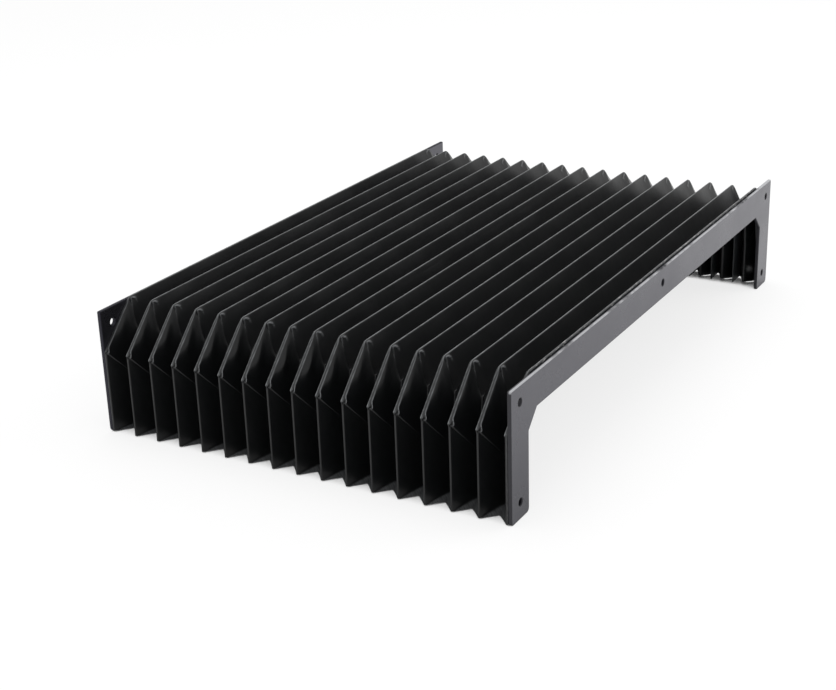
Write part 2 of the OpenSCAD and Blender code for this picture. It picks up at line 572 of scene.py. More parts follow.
@dataclass
class ClothColumns:
    """The cloth's columns from the near hem to the far one: where each meets the crests and the valleys.

    A knee is where a side turns into the cut corner above it, and a shoulder where that corner turns into the
    top. All sizes are in millimetres.
    """

    plan: CoverPlan
    depth: float = 23.0
    crest_cut: float = 34.0
    valley_cut_y: float = 6.0
    valley_cut_z: float = 38.0
    knee_round: float = 1.6
    shoulder_round: float = 3.0
    valley_round: float = 0.25
    fine: float = 0.35
    growth: tuple[float, float, float] = (1.3, 1.22, 1.14)
    steps: tuple[float, float, float] = (6.0, 1.8, 13.0)
    from_hem: np.ndarray = field(init=False)
    from_knee: np.ndarray = field(init=False)
    from_shoulder: np.ndarray = field(init=False)
    far: np.ndarray = field(init=False)
    crest: np.ndarray = field(init=False)
    bend: np.ndarray = field(init=False)
    valley: np.ndarray = field(init=False)

    def __post_init__(self) -> None:
        """Works the columns out for the near half and mirrors them."""
        plan = self.plan
        side, top = plan.half_width, plan.top
        crest_line = [
            (-side, plan.hem),
            (-side, top - self.crest_cut),
            (self.crest_cut - side, top),
            (0.0, top),
        ]
        inner_side, inner_top = side - self.depth, top - self.depth
        valley_line = [
            (-inner_side, plan.hem),
            (-inner_side, inner_top - self.valley_cut_z),
            (self.valley_cut_y - inner_side, inner_top),
            (0.0, inner_top),
        ]
        lengths = [math.dist(a, b) for a, b in zip(crest_line, crest_line[1:])]
        whole = (*lengths[:2], 2 * lengths[2])
        parts = [graded(n, self.fine, step, grow) for n, step, grow in zip(whole, self.steps, self.growth)]
        parts[2] = parts[2][: len(parts[2]) // 2 + 1]
        starts = np.cumsum([0.0, *lengths[:2]])
        near = np.concatenate([parts[0], *[start + part[1:] for start, part in zip(starts[1:], parts[1:])]])
        inner_lengths = [math.dist(a, b) for a, b in zip(valley_line, valley_line[1:])]
        inner_near = np.interp(near, np.cumsum([0.0, *lengths]), np.cumsum([0.0, *inner_lengths]))
        crest = rounded_path(near, crest_line, [self.knee_round, self.shoulder_round])
        bend = crest - rounded_path(near, crest_line, [self.valley_round, self.valley_round])
        valley = rounded_path(inner_near, valley_line, [self.valley_round, self.valley_round])
        mirror = np.array([-1.0, 1.0])
        self.from_hem = np.concatenate([near, near[-2::-1]])
        self.from_knee = self.from_hem - starts[1]
        self.from_shoulder = self.from_hem - starts[2]
        self.far = np.arange(len(self.from_hem)) >= len(near)
        self.crest, self.bend, self.valley = (
            np.concatenate([line, line[-2::-1] * mirror]) for line in (crest, bend, valley)
        )

    @property
    def count(self) -> int:
        """Number of columns."""
        return len(self.from_hem)

    @property
    def reach(self) -> np.ndarray:
        """Distance in each column from crest to valley, seen along the cover."""
        return np.linalg.norm(self.valley - self.crest, axis=1)

    @property
    def inward(self) -> np.ndarray:
        """Way from crest to valley in each column, as a unit vector across the cover."""
        return (self.valley - self.crest) / self.reach[:, None]

    @property
    def across(self) -> np.ndarray:
        """Distance along the crest from the near hem to each column."""
        steps = np.linalg.norm(np.diff(self.crest, axis=0), axis=1)
        return np.concatenate([[0.0], np.cumsum(steps)])


class Face(Enum):
    """Which face of a pleat: the one before its crest or the one behind it."""

    FRONT = 1
    REAR = -1


@dataclass
class CrestForm:
    """How a fold is shaped from hem to hem, in millimetres.

    The crest is round along the top. On the cut corner it is a flat band that ends at the knee in a small ear
    with a notch beside it, and down the sides it is round again. The faces are slightly hollow.
    """

    columns: ClothColumns
    top_band: float = 0.12
    corner_band: tuple[float, float] = (1.1, 0.8)
    side_band: float = 0.3
    corner_start: float = 1.0
    corner_blend: float = 9.0
    ear: float = 2.0
    ear_length: float = 5.5
    ear_end: float = 0.7
    ear_depth: float = 1.1
    notch: float = 2.6
    notch_length: float = 5.0
    notch_end: float = 2.5
    top_round: float = 0.55
    corner_round: float = 0.45
    side_round: float = 0.45
    valley_radius: float = 0.7
    top_hollow: float = 0.42
    corner_hollow: float = 0.1
    side_hollow: float = 0.2
    hollow_start: float = 1.0
    hollow_blend: float = 15.0
    hem_blend: float = 20.0
    # The pale lines along the crests, partly rub wear and partly a painted highlight:
    # their half width, and how strong each of them is.
    line_width: float = 0.4
    top_line: float = 1.5
    side_line: float = 0.05
    flat_line: float = 0.18
    ear_line: float = 1.8
    prong_inset: float = 0.3
    split_blend: float = 0.6
    split_start: float = 0.2

    def on_corner(self) -> np.ndarray:
        """Share of the corner's form, which falls to 0 on the top and the sides.

        Returns:
            A share from 0 to 1 for each column.
        """
        below_shoulder = smooth((self.corner_start - self.columns.from_shoulder) / self.corner_blend)
        above_knee = smooth((self.columns.from_knee + self.ear_end) / self.ear_end)
        return below_shoulder * above_knee

    def near_knee(self, length: float, end: float) -> np.ndarray:
        """Rise towards the knee along the corner, and a fall below it.

        Args:
            length: How far above the knee the rise starts.
            end: How far below the knee the fall ends.

        Returns:
            A share from 0 to 1 for each column.
        """
        above = self.columns.from_knee
        rise = smooth(1 - np.abs(above) / length)
        fall = smooth(1 + above / end)
        return np.where(above >= 0, rise, fall)

    def band(self) -> np.ndarray:
        """Half width of the crest's flat top, without its ear.

        Returns:
            A width for each column.
        """
        columns = self.columns
        plain = np.where(columns.from_knee < 0, self.side_band, self.top_band)
        climb = columns.from_knee / (columns.from_knee - columns.from_shoulder)
        return plain + (np.interp(climb, (0, 1), self.corner_band) - plain) * self.on_corner()

    def ear_width(self, face: Face) -> np.ndarray:
        """How far the ear stands out towards one face."""
        return self.ear * self.near_knee(self.ear_length, self.ear_end) * (face is Face.FRONT)

    def rounding(self) -> np.ndarray:
        """Radius of the crest's edges."""
        plain = np.where(self.columns.from_knee < 0, self.side_round, self.top_round)
        return plain + (self.corner_round - plain) * self.on_corner()

    def dip(self, face: Face) -> np.ndarray:
        """Depth of the notch in the crest's flat top towards one face."""
        return self.notch * self.near_knee(self.notch_length, self.notch_end) * (face is Face.FRONT)

    def hollow(self) -> np.ndarray:
        """How much the face's slope changes from the crest to the valley.

        Returns:
            A share of the face's mean slope for each column.
        """
        columns = self.columns
        on_top = smooth((columns.from_shoulder + self.hollow_start) / self.hollow_blend)
        on_side = smooth(-columns.from_knee / self.hollow_blend) * smooth(columns.from_hem / self.hem_blend)
        more = (self.top_hollow - self.corner_hollow) * on_top
        return self.corner_hollow + more + (self.side_hollow - self.corner_hollow) * on_side

    def rubbed_and_lit(self, along: np.ndarray, band: np.ndarray) -> np.ndarray:
        """Strength of the pale line painted along a fold's crest, partly rub wear and partly a painted
        highlight.

        Args:
            along: Distance of each row and column from the crest's middle.
            band: Half width of the crest's flat top with its ear.

        Returns:
            A strength for each row and column.
        """
        above_knee = self.columns.from_knee
        edges = bell((along - band) / self.line_width)
        middle = np.where(above_knee < 0, self.side_line, self.top_line * bell(along / self.line_width))
        corner = self.on_corner()
        started = smooth(above_knee / self.split_blend + self.split_start)
        split = self.near_knee(self.notch_length, self.ear_end) * started
        banded = self.flat_line * (1 - split) + (1 - self.flat_line) * edges
        prongs = np.maximum(edges, bell((along + self.prong_inset) / self.line_width))
        return middle * (1 - corner) + banded * corner + self.ear_line * prongs * split


@dataclass(frozen=True)
class FoldRows:
    """How many rows of points each part of a half fold has, and how far from the crest it may be parted."""

    flat: int = 4
    arc: int = 4
    upper: int = 8
    lower: int = 7
    valley: int = 2
    seam_at: float = 1.9

    @property
    def crest(self) -> int:
        """Row at which the crest's edge runs into the face."""
        return self.flat + self.arc

    @property
    def seam(self) -> int:
        """Row at which the cloth beside the middle fold is parted."""
        return self.crest + self.upper


@dataclass
class HalfFold:
    """One side of a crest down to the middle of the valley: rows by columns, in millimetres."""

    along: np.ndarray
    inset: np.ndarray
    down: np.ndarray
    share: np.ndarray
    line: np.ndarray

    @classmethod
    def shape(cls, form: CrestForm, rows: FoldRows, run: float, face: Face) -> "HalfFold":
        """Lays the rows out.

        Args:
            form: The crest's form.
            rows: How many rows each part has.
            run: Distance along the cover from the crest to the valley.
            face: The side of the crest.

        Returns:
            The rows, from the crest's middle to the valley's middle.
        """
        valley_round = form.valley_radius
        band, ear, edge = form.band(), form.ear_width(face), form.rounding()
        dip, hollow, reach = form.dip(face), form.hollow(), form.columns.reach
        sunk = np.where(form.columns.from_knee < 0, dip / 2, 0)
        slope = (run - band - edge) / reach
        turn = math.pi / 2 - np.arctan((1 - hollow) * slope)
        valley_turn = math.pi / 2 - np.arctan((1 + hollow) * slope)
        start_x, start_in = band + edge * np.sin(turn), edge * (1 - np.cos(turn))
        end_x = run - valley_round * np.sin(valley_turn)
        end_in = reach - valley_round * (1 - np.cos(valley_turn))
        part = (rows.seam_at - start_x) / (end_x - start_x)
        seam = (np.sqrt((1 - hollow) ** 2 + 4 * hollow * part) - (1 - hollow)) / (2 * hollow)
        along, inset = [], []
        for share in np.linspace(0, 1, rows.flat + 1):
            along.append((band + ear) * share)
            inset.append(dip * math.sin(math.pi * share) ** 2)
        for share in np.linspace(0, 1, rows.arc + 1)[1:]:
            along.append(band + ear + edge * np.sin(turn * share))
            inset.append(edge * (1 - np.cos(turn * share)) + sunk)
        shares = [seam * s for s in np.linspace(0, 1, rows.upper + 1)[1:]]
        shares += [seam + (1 - seam) * s for s in np.linspace(0, 1, rows.lower + 1)[1:]]
        for share in shares:
            depth = (end_in - start_in) * share
            hollowed = share * (1 - hollow * (1 - share))
            lug = ear * np.square(np.clip(1 - depth / form.ear_depth, 0, None))
            along.append(start_x + (end_x - start_x) * hollowed + lug)
            inset.append(start_in + depth)
        for share in np.linspace(1, 0, rows.valley + 1)[1:]:
            along.append(run - valley_round * np.sin(valley_turn * share))
            inset.append(reach - valley_round * (1 - np.cos(valley_turn * share)))
        x, depth = np.array(along), np.array(inset)
        on_face = np.clip((depth - start_in) / (reach - start_in), 0, 1)
        steps = np.hypot(np.diff(x, axis=0), np.diff(depth, axis=0))
        length = np.concatenate([np.zeros((1, x.shape[1])), np.cumsum(steps, axis=0)])
        # Pale line of the crests, rub wear with a painted highlight, kept to the crest rows.
        rubbed_and_lit = form.rubbed_and_lit(x, band + ear)
        rubbed_and_lit[rows.crest + 1 :] = 0
        return cls(x, depth, length - length[rows.crest], on_face, rubbed_and_lit)


@dataclass
class ClothRelief:
    """How far the folded cloth stands out from its flat faces, in millimetres.

    The corners bulge below the shoulders, a crease and a tuck start at each shoulder, a slight ridge leaves
    each knee, and the faces hang in slack waves.
    """

    columns: ClothColumns
    start: float = 0.7
    puff: float = 2.0
    puff_least: float = 0.2
    puff_rear: float = 0.45
    puff_differs: tuple[float, float] = (0.75, 1.25)
    puff_from_shoulder: float = 22.0
    puff_shift: tuple[float, float] = (-4.0, 4.0)
    puff_length: float = 9.0
    puff_reach: float = 15.0
    puffed_pleat: float = 6.0
    puffed_spread: float = 4.5
    # The crease, tuck and knee lines are paler colour that paints highlights on these folds, with some rub
    # wear.
    crease: float = 0.7
    crease_differs: tuple[float, float] = (0.7, 1.2)
    crease_length: float = 6.0
    crease_sides: tuple[float, float] = (1.6, 1.1)
    crease_drop: float = 1.1
    crease_line: float = 0.6
    crease_line_at: float = 0.4
    crease_line_width: float = 0.8
    tuck: float = 0.55
    tuck_differs: tuple[float, float] = (0.65, 1.05)
    tuck_across: float = 8.5
    tuck_down: float = 6.0
    tuck_width: float = 0.7
    tuck_end: float = 1.2
    tuck_before: float = 0.3
    tuck_line: float = 1.5
    knee_ridge: float = 0.04
    knee_width: float = 0.8
    knee_length: float = 14.0
    knee_line: float = 0.03
    slack: float = 0.35
    slack_waves: tuple[float, ...] = (170.0, 95.0, 52.0)

    def either(self, span: tuple[float, float], rng: np.random.Generator) -> np.ndarray:
        """Draws one value for the near half of the cover and one for the far half."""
        return np.where(self.columns.far, *rng.uniform(*span, 2))

    def puffs(self, down: np.ndarray, pleat: int, face: Face, rng: np.random.Generator) -> np.ndarray:
        """Bulges of the corners below the shoulders.

        Args:
            down: Distance of each row and column below the crest's edge.
            pleat: The crest that the face hangs from.
            face: The side of that crest.
            rng: Source of the small differences between pleats.

        Returns:
            Distance outwards for each row and column.
        """
        strength = self.puff_least + bell(np.array((pleat - self.puffed_pleat) / self.puffed_spread))
        share = 1.0 if face is Face.FRONT else self.puff_rear
        size = self.puff * strength * share * self.either(self.puff_differs, rng)
        place = self.puff_from_shoulder + self.either(self.puff_shift, rng)
        gone = np.minimum(down / self.puff_reach, 1.0)
        swell = bell((self.columns.from_shoulder + place) / self.puff_length)
        # The product of the last two factors peaks at 4/27.
        return size * swell * 27 / 4 * gone * np.square(1 - gone)

    def tucks(self, down: np.ndarray, rng: np.random.Generator) -> np.ndarray:
        """Short curved tucks from the shoulders towards the valley.

        Args:
            down: Distance of each row and column below the crest's edge.
            rng: Source of the small differences between pleats.

        Returns:
            A share from 0 to 1 for each row and column.
        """
        past = self.columns.from_shoulder
        stretch = self.either(self.tuck_differs, rng)
        gone = np.minimum(down / (self.tuck_down * stretch), 1.0)
        route = self.tuck_across * stretch * gone * (2 - gone)
        lie = np.hypot(1.0, 2 * self.tuck_across / self.tuck_down * (1 - gone))
        tucked = bell((past - route) / lie / self.tuck_width)
        return tucked * smooth(self.tuck_end - down / (self.tuck_down * stretch)) * (past > -self.tuck_before)

    def waves(self, down: np.ndarray, depth: np.ndarray, rng: np.random.Generator) -> np.ndarray:
        """Slack waves along the faces.

        Args:
            down: Distance of each row and column below the crest's edge.
            depth: The same distance at the valley.
            rng: Source of the small differences between pleats.

        Returns:
            Distance outwards for each row and column.
        """
        waves = np.zeros(self.columns.count)
        for wavelength in self.slack_waves:
            phase = rng.uniform(0, 2 * math.pi)
            waves += np.sin(2 * math.pi * self.columns.across / wavelength + phase) / len(self.slack_waves)
        return self.slack * waves * np.sin(math.pi * np.clip(down / depth, 0, 1))

    def shape(
        self, half: HalfFold, pleat: int, face: Face, rng: np.random.Generator
    ) -> tuple[np.ndarray, np.ndarray]:
        """Adds up all that stands out from one face, and paints pale lines on its creases, partly rub wear
        and partly a painted highlight.

        Args:
            half: The face's rows.
            pleat: The crest that the face hangs from.
            face: The side of that crest.
            rng: Source of the small differences between pleats.

        Returns:
            Distance outwards and strength of the rubbed lines, for each row and column.
        """
        past, from_knee = self.columns.from_shoulder, np.abs(self.columns.from_knee)
        down = np.maximum(half.down, 0)
        leaving = 1 - np.exp(-down / self.start)
        puffed = self.puffs(down, pleat, face, rng)
        fade = bell(down / self.crease_length) * leaving
        above, below = self.crease_sides
        step = np.where(past >= 0, np.exp(-past / above), -self.crease_drop * np.exp(past / below))
        creased = self.crease * fade * step * self.either(self.crease_differs, rng)
        tucked = self.tucks(down, rng)
        kneed = np.exp(-from_knee / self.knee_width) * np.exp(-down / self.knee_length) * leaving
        out = puffed + creased + self.tuck * tucked * leaving + self.knee_ridge * kneed
        out += self.waves(down, half.down[-1], rng)
        # Painted highlights along the crease, the tuck and the knee ridge, with some rub wear.
        lines = self.crease_line * bell((past - self.crease_line_at) / self.crease_line_width) * fade
        rubbed_and_lit = lines + self.tuck_line * tucked * leaving + self.knee_line * kneed
        return out, half.line + rubbed_and_lit


@dataclass
class PleatedCloth:
    """The folded cloth, with one piece for each pleat. Sizes are in millimetres."""

    plan: CoverPlan
    columns: ClothColumns
    form: CrestForm
    relief: ClothRelief
    rows: FoldRows = FoldRows()
    thickness: float = 0.4
    corner_fill: float = 0.85
    bend_depth: float = 0.35
    flare: tuple[float, float] = (11.0, 13.0)
    flare_height: tuple[float, float] = (3.0, 6.0)
    flare_line: float = 0.6
    flare_line_at: float = 3.0
    plate_gap: float = 0.05
    turned_round: float = 0.35
    turned_depth: float = 2.0
    turned_rows: tuple[int, int] = (4, 5)
    turned_lines: tuple[float, float] = (0.3, 0.1)
    fleck_reach: float = 1.0
    fleck_from_shoulder: float = 2.0
    sharp_deg: float = 60.0
    # The strips beside the middle fold close on each other unbent, so they stand out less than the others.
    middle_ear: float = 0.9
    middle_relief: float = 0.3
    middle_ease: float = 1.0

    def corner_lift(self, half: HalfFold) -> np.ndarray:
        """How far the folded corners stand out from an evenly twisted patch.

        The cloth can't stretch, so a corner bulges towards the fold from its knee to the valley's shoulder.

        Args:
            half: The face's rows.

        Returns:
            A shift across the cover for each row and column.
        """
        columns = self.columns
        twist = np.array([columns.crest_cut - columns.valley_cut_y, columns.crest_cut - columns.valley_cut_z])
        s = np.clip(-columns.from_shoulder / math.hypot(columns.crest_cut, columns.crest_cut), 0, 1)
        t = half.share
        fill = s * t * (1 - s) * (1 - t) / (s * t + (1 - s) * (1 - t) + TINY)
        ways = np.where(columns.far[:, None], twist * (1, -1), -twist)
        return self.corner_fill * fill[..., None] * ways[None]

    def half_surface(
        self, half: HalfFold, crest: int, face: Face, rng: np.random.Generator
    ) -> tuple[np.ndarray, np.ndarray]:
        """Points of one side of a crest, with the valley flared out at the hem.

        Args:
            half: The rows.
            crest: The crest, counted from the rear end.
            face: The side of the crest.
            rng: Source of the small differences between pleats.

        Returns:
            Points and strength of the pale painted lines, by row and column.
        """
        columns = self.columns
        x = self.plan.crests[crest] + face.value * half.along
        fold = crest if face is Face.FRONT else crest - 1
        ends = (0, self.plan.pleats - 1)
        flare, height = (np.interp(fold, ends, sizes) for sizes in (self.flare, self.flare_height))
        turned_out = flare * (half.share - columns.from_hem / height)
        turned_out = (turned_out + np.hypot(turned_out, half.share)) / 2
        inset = half.inset - turned_out
        left_over = (1 - half.share) * smooth(half.share / self.bend_depth)
        unbent = left_over[..., None] * columns.bend[None]
        straight = columns.crest[None] + columns.inward[None] * inset[..., None]
        across = straight - unbent + self.corner_lift(half)
        points = np.concatenate([x[..., None], across], axis=2)
        outward = self.normals(points) * face.value
        out, line = self.relief.shape(half, crest, face, rng)
        if fold == self.plan.middle:
            eased = smooth((half.along - self.rows.seam_at) / self.middle_ease)
            out *= self.middle_relief + (1 - self.middle_relief) * eased
        # The flared hem is painted paler: partly rub wear on the floor, partly painted shade standing in for
        # the shaded floor under the hem.
        line += self.flare_line * smooth(turned_out / self.flare_line_at)
        return points + outward * out[..., None], line

    @staticmethod
    def normals(points: np.ndarray) -> np.ndarray:
        """Unit normals of a grid, outwards where its rows run towards the front.

        Args:
            points: Points by row and column.

        Returns:
            One normal for each point.
        """
        along, across = np.gradient(points, axis=(0, 1))
        cross = np.cross(along, across)
        return cross / np.maximum(np.linalg.norm(cross, axis=2, keepdims=True), TINY)

    def end_rows(self, crest: int, face: Face) -> tuple[np.ndarray, np.ndarray]:
        """Rows from an end plate's face over the edge of the crest beside it.

        Args:
            crest: The first or the last crest.
            face: The side of the crest that lies on the plate.

        Returns:
            Points by row and column from the crest's middle to the plate, and the rubbed line's strength.
        """
        columns = self.columns
        plate = self.plan.rear_seat if face is Face.REAR else self.plan.front_seat
        middle, edge = self.plan.crests[crest], self.turned_round
        flat = abs(plate - middle) - self.plate_gap - edge
        flats, arcs = self.turned_rows
        rows = [(flat * s, 0.0) for s in np.linspace(0, 1, flats)]
        turns = np.linspace(0, math.pi / 2, arcs)[1:]
        rows += [(flat + edge * math.sin(turn), edge * (1 - math.cos(turn))) for turn in turns]
        rows.append((flat + edge, self.turned_depth))
        points = [
            np.column_stack(
                [np.full(columns.count, middle + face.value * x), columns.crest + columns.inward * inset]
            )
            for x, inset in rows
        ]
        rim, bonded = self.turned_lines
        line = [np.full(columns.count, rim if inset < edge else bonded) for _, inset in rows]
        return np.array(points), np.array(line)

    def mesh(self, name: str, points: np.ndarray, line: np.ndarray, flecks: np.ndarray) -> bpy.types.Object:
        """Makes a closed sheet from a grid.

        Args:
            name: Name of the piece.
            points: Points of the outer face by row and column, in millimetres.
            line: Strength of the pale fold line, rub wear with a painted highlight, by row and column.
            flecks: Strength of the pale flecks by row and column.

        Returns:
            The new object.
        """
        rows, count = points.shape[:2]
        inner = points - self.normals(points) * self.thickness
        vertices = np.concatenate([points.reshape(-1, 3), inner.reshape(-1, 3)]) * MM
        index = np.arange(rows * count).reshape(rows, count)
        quads = np.stack([index[:-1, :-1], index[1:, :-1], index[1:, 1:], index[:-1, 1:]], axis=2)
        quads = quads.reshape(-1, 4)
        under = rows * count
        loop = np.concatenate([index[0, :-1], index[:-1, -1], index[-1, :0:-1], index[:0:-1, 0]])
        following = np.roll(loop, -1)
        rim = np.column_stack([loop, following, following + under, loop + under])
        faces = np.concatenate([quads, quads[:, ::-1] + under, rim])
        data = bpy.data.meshes.new(name)
        data.from_pydata(vertices.tolist(), [], faces.tolist())
        data.polygons.foreach_set("use_smooth", np.ones(len(faces), bool))
        data.set_sharp_from_angle(angle=math.radians(self.sharp_deg))
        steps = np.linalg.norm(np.diff(points, axis=0), axis=2)
        length = np.concatenate([np.zeros((1, count)), np.cumsum(steps, axis=0)])
        laid_out = np.stack([np.broadcast_to(self.columns.across, length.shape), length], axis=2)
        flat = laid_out.reshape(-1, 2) * MM
        flat = np.concatenate([flat, flat])
        corners = np.zeros(len(data.loops), np.int32)
        data.loops.foreach_get("vertex_index", corners)
        data.uv_layers.new(name=FLAT_UV).data.foreach_set("uv", flat[corners].ravel().astype(np.float32))
        for title, values in ((FOLD_WEAR_AND_HIGHLIGHT, line), (FLECKS, flecks)):
            both = np.concatenate([values.ravel(), values.ravel()]).astype(np.float32)
            data.attributes.new(title, "FLOAT", "POINT").data.foreach_set("value", both)
        data.validate()
        data.update()
        piece = bpy.data.objects.new(name, data)
        bpy.context.scene.collection.objects.link(piece)
        return piece

    def build(self, cloth: bpy.types.Material) -> list[bpy.types.Object]:
        """Makes the pleats and dresses them.

        Args:
            cloth: The cloth's finish.

        Returns:
            The pieces, from the rear end to the front.
        """
        plan, last = self.plan, self.plan.pleats
        rng = np.random.default_rng(SEED)
        front = HalfFold.shape(self.form, self.rows, plan.run, Face.FRONT)
        rear = HalfFold.shape(self.form, self.rows, plan.run, Face.REAR)
        snug = HalfFold.shape(replace(self.form, ear=self.middle_ear), self.rows, plan.run, Face.FRONT)
        halves = [snug if k == plan.middle else front for k in range(last)]
        fronts = [self.half_surface(half, k, Face.FRONT, rng) for k, half in enumerate(halves)]
        rears = [self.half_surface(rear, k, Face.REAR, rng) for k in range(1, last + 1)]
        middle, seam = plan.middle, self.rows.seam
        pieces = []
        for k in range(last):
            (ahead, ahead_line), (behind, behind_line) = fronts[k], rears[k]
            points = [ahead, behind[-2::-1]]
            lines = [ahead_line, behind_line[-2::-1]]
            if k == 0:
                flap, flap_line = self.end_rows(0, Face.REAR)
                points.insert(0, flap[:0:-1])
                lines.insert(0, flap_line[:0:-1])
            elif k == last - 1:
                flap, flap_line = self.end_rows(last, Face.FRONT)
                points.append(flap[1:])
                lines.append(flap_line[1:])
            elif k == middle - 1:
                points.append(fronts[k + 1][0][1 : seam + 1])
                lines.append(fronts[k + 1][1][1 : seam + 1])
            elif k == middle:
                points = [ahead[seam:], behind[-2 : seam - 1 : -1]]
                lines = [ahead_line[seam:], behind_line[-2 : seam - 1 : -1]]
            elif k == middle + 1:
                points.insert(0, rears[k - 1][0][seam:0:-1])
                lines.insert(0, rears[k - 1][1][seam:0:-1])
            grid, line = np.concatenate(points), np.concatenate(lines)
            at_plate = grid[..., 0] > plan.crests[last] - self.fleck_reach
            flecks = at_plate * (self.columns.from_shoulder > self.fleck_from_shoulder) * 1.0
            piece = self.mesh(f"cloth_pleat_{k + 1:02d}", grid, line, flecks)
            piece.data.materials.append(cloth)
            self.attach(piece, k)
            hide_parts("bellows_cloth")
            pieces.append(piece)
        return pieces

    def attach(self, piece: bpy.types.Object, pleat: int) -> None:
        """Bakes a pleat's placement into its mesh, without tying it to the bodies at its two crests.

        Args:
            piece: The pleat's mesh.
            pleat: The pleat, counted from 0 at the rear end.
        """
        plan = self.plan
        low, high = plan.crests[pleat], plan.crests[pleat + 1]
        if pleat != plan.middle:
            plan.body(pleat)
            plan.body(pleat + 1)
            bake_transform(piece)
            return
        # No joint joins the two middle crests.
        low, high = low + self.rows.seam_at, high - self.rows.seam_at
        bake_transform(piece)


@dataclass
class EndFlaps:
    """The cloth's two flaps, bonded to the end plates and cut out around the bolts. Sizes in millimetres."""

    plan: CoverPlan
    columns: ClothColumns
    outer: float = 1.6
    inner: float = 21.5
    gap: float = 0.05
    thickness: float = 0.4
    hole: float = 3.75
    hole_sides: int = 24
    bolts: tuple[tuple[float, float], ...] = ((-256.5, 13.0), (0.0, 87.5), (256.5, 13.0))

    def pattern(self) -> bpy.types.Curve:
        """Draws the flat cut: its outline and its holes.

        Returns:
            A filled flat curve in metres.
        """
        columns = self.columns
        rim = columns.crest + columns.inward * self.outer
        bore = columns.crest + columns.inward * self.inner
        turn = np.linspace(0, 2 * math.pi, self.hole_sides, endpoint=False)
        ring = self.hole * np.column_stack([np.cos(turn), np.sin(turn)])
        data = bpy.data.curves.new("flap_pattern", "CURVE")
        data.dimensions = "2D"
        data.fill_mode = "BOTH"
        data.extrude = self.thickness / 2 * MM
        for line in (np.concatenate([rim, bore[::-1]]), *[ring + bolt for bolt in self.bolts]):
            spline = data.splines.new("POLY")
            spline.points.add(len(line) - 1)
            filled = np.column_stack([line * MM, np.zeros(len(line)), np.ones(len(line))])
            spline.points.foreach_set("co", filled.ravel())
            spline.use_cyclic_u = True
        return data

    @staticmethod
    def close(data: bpy.types.Mesh, reach: float = 0.01) -> None:
        """Joins the two sides of a flap to its rim.

        Args:
            data: The flap's mesh.
            reach: How near points are joined, in millimetres.
        """
        mesh = bmesh.new()
        mesh.from_mesh(data)
        bmesh.ops.remove_doubles(mesh, verts=mesh.verts, dist=reach * MM)
        mesh.to_mesh(data)
        mesh.free()

    def build(self, cloth: bpy.types.Material) -> list[bpy.types.Object]:
        """Makes both flaps and dresses them.

        Args:
            cloth: The cloth's finish.

        Returns:
            The rear and the front flap.
        """
        source = bpy.data.objects.new("flap_pattern", self.pattern())
        inset = self.gap + self.thickness / 2
        places = (("rear", self.plan.rear_seat + inset), ("front", self.plan.front_seat - inset))
        pieces = []
        for end, x in places:
            data = bpy.data.meshes.new_from_object(source)
            data.name = f"cloth_flap_{end}"
            # The pattern lies flat, so its x, y and z become the cover's y, z and x.
            data.transform(Matrix(((0, 0, 1, x * MM), (1, 0, 0, 0), (0, 1, 0, 0), (0, 0, 0, 1))))
            self.close(data)
            spots = np.array([vertex.co[1:] for vertex in data.vertices])
            corners = np.zeros(len(data.loops), np.int32)
            data.loops.foreach_get("vertex_index", corners)
            data.uv_layers.new(name=FLAT_UV).data.foreach_set("uv", spots[corners].ravel())
            data.materials.clear()
            data.materials.append(cloth)
            piece = bpy.data.objects.new(data.name, data)
            bpy.context.scene.collection.objects.link(piece)
            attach(piece, f"{end}_end")
            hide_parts("bellows_cloth")
            pieces.append(piece)
        bpy.data.objects.remove(source)
        return pieces


@dataclass
class EndPlates:
    """The two sheet-metal end plates as the frame has them, with broken edges. Sizes in millimetres."""

    edge: float = 0.7
    edge_rows: int = 2
    weld: float = 0.01
    flat_deg: float = 1.0
    sharp_deg: float = 40.0
    side_facing: float = 0.5
    face_weight: int = 100
    names: tuple[str, ...] = ("rear_end_plate", "front_end_plate")
    # This plate's upper edges get the pale line of wear and painted highlight.
    handled_and_highlit: str = "front_end_plate"

    def dress(self, paint: bpy.types.Material, cut: bpy.types.Material, worn_and_highlit: bpy.types.Material) -> None:
        """Breaks the edges and paints the plates.

        Args:
            paint: The finish of the sheet's two sides.
            cut: The finish of its cut edges.
            worn_and_highlit: The finish of the handled plate's edges: wear with a painted highlight.
        """
        for name in self.names:
            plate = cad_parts[name]
            plate.data.materials.clear()
            plate.data.materials.append(paint)
            plate.data.materials.append(worn_and_highlit if name == self.handled_and_highlit else cut)
            for side in plate.data.polygons:
                side.material_index = int(abs(side.normal.x) < self.side_facing)
                side.use_smooth = True
            weld = plate.modifiers.new("weld", "WELD")
            weld.merge_threshold = self.weld * MM
            # Triangles would hold the bevel back, so the flat sides become whole faces first.
            whole = plate.modifiers.new("whole_faces", "DECIMATE")
            whole.decimate_type = "DISSOLVE"
            whole.angle_limit = math.radians(self.flat_deg)
            edges = plate.modifiers.new("broken_edges", "BEVEL")
            edges.use_clamp_overlap = False
            edges.width = self.edge * MM
            edges.segments = self.edge_rows
            edges.limit_method = "ANGLE"
            edges.angle_limit = math.radians(self.sharp_deg)
            edges.material = 1
            even = plate.modifiers.new("even_shading", "WEIGHTED_NORMAL")
            even.mode = "FACE_AREA"
            even.weight = self.face_weight
            log.info("%s: painted", name)


@dataclass
class Stiffeners:
    """The plastic sheets inside the folds, as the frame has them."""

    prefix: str = "stiffener_"

    def dress(self, plastic: bpy.types.Material) -> None:
        """Gives every stiffener its finish.

        Args:
            plastic: The stiffeners' finish.
        """
        for name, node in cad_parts.items():
            if name.startswith(self.prefix):
                node.data.materials.clear()
                node.data.materials.append(plastic)
                log.info("%s: dressed", name)


